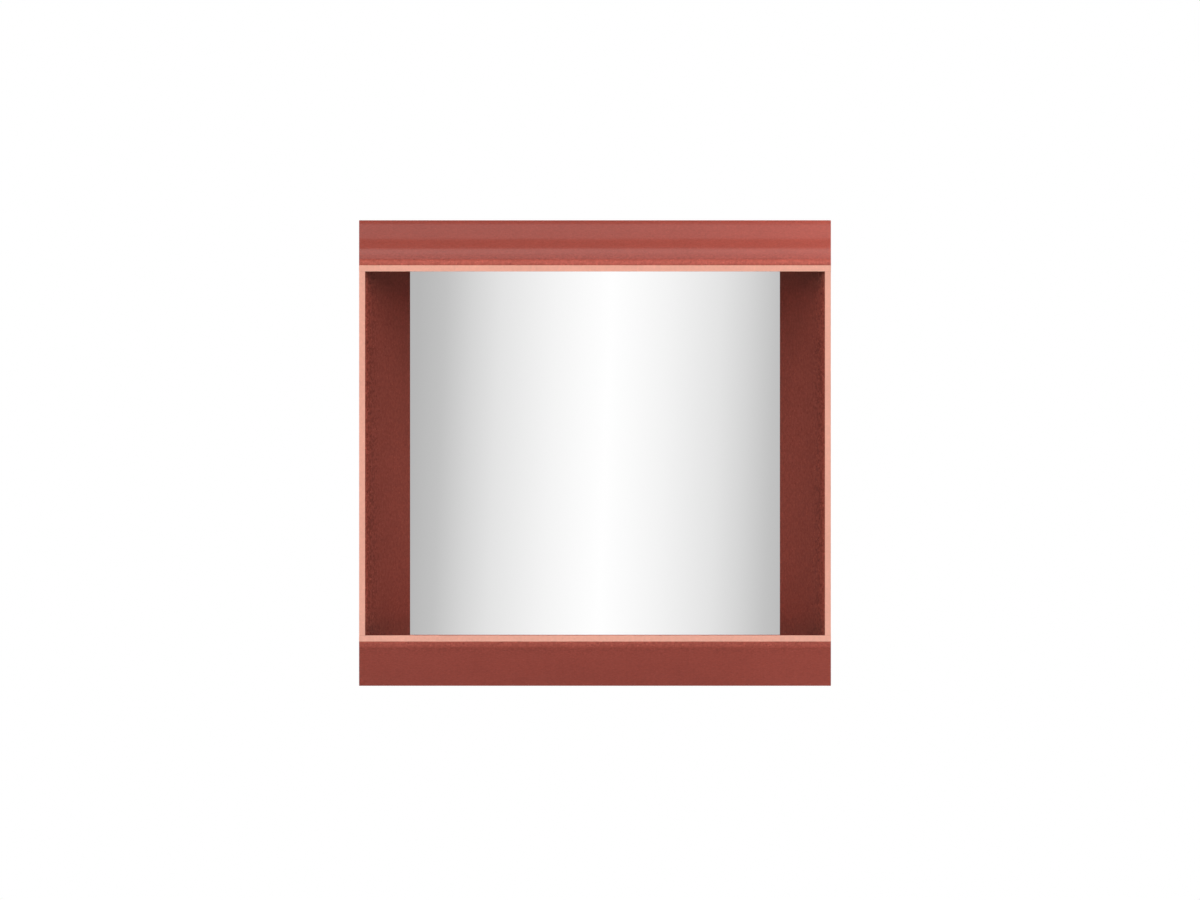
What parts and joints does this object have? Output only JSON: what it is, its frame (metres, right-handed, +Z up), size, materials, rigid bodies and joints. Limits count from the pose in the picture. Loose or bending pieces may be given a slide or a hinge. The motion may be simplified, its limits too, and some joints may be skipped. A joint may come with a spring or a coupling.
{
  "type": "wall mirror",
  "caption": "Wall mirror in a deep frame of leaning boards, outer faces above and below, inner faces at the sides, lifted off a wall rail.",
  "frame": {"origin": "middle of the wall rail's line of screw holes, on the wall plane", "axes": "+X to the right of someone facing the mirror, +Y into the wall, +Z up"},
  "size_m": [0.6, 0.116, 0.592],
  "materials": {
    "red_lacquer": "brick red lacquer, satin, finely pebbled",
    "salmon_edge": "pale salmon lacquer, satin",
    "mirror_glass": "silvered clear glass, ground edges",
    "foam_tape": "white foam mirror tape",
    "back_panel": "charcoal stained fibreboard, matt",
    "rail_aluminium": "mill-finish extrusion",
    "screw_steel": "bright zinc plated",
    "bumper_rubber": "matt black rubber"
  },
  "bodies": {
    "wall_fixing": {"wall_rail_flange": "rail_aluminium", "wall_rail_tongue": "rail_aluminium"},
    "mirror": {"top_board": "red_lacquer", "bottom_board": "red_lacquer", "left_board": "red_lacquer", "right_board": "red_lacquer", "top_edge_strip": "salmon_edge", "bottom_edge_strip": "salmon_edge", "left_edge_strip": "salmon_edge", "right_edge_strip": "salmon_edge", "mirror_glass": "mirror_glass", "mirror_tape": "foam_tape", "back_panel": "back_panel", "left_batten": "red_lacquer", "right_batten": "red_lacquer", "corner_block_top_left": "red_lacquer", "corner_block_top_right": "red_lacquer", "corner_block_bottom_left": "red_lacquer", "corner_block_bottom_right": "red_lacquer", "back_panel_screws": "screw_steel", "frame_rail_flange": "rail_aluminium", "frame_rail_tongue": "rail_aluminium", "frame_rail_screws": "screw_steel", "left_bumper": "bumper_rubber", "right_bumper": "bumper_rubber"}
  },
  "joints": [
    {"name": "lift_off", "type": "slide", "parent": "wall_fixing", "child": "mirror", "axis": [0, 0, 1], "range_m": [0, 0.016]}
  ]
}
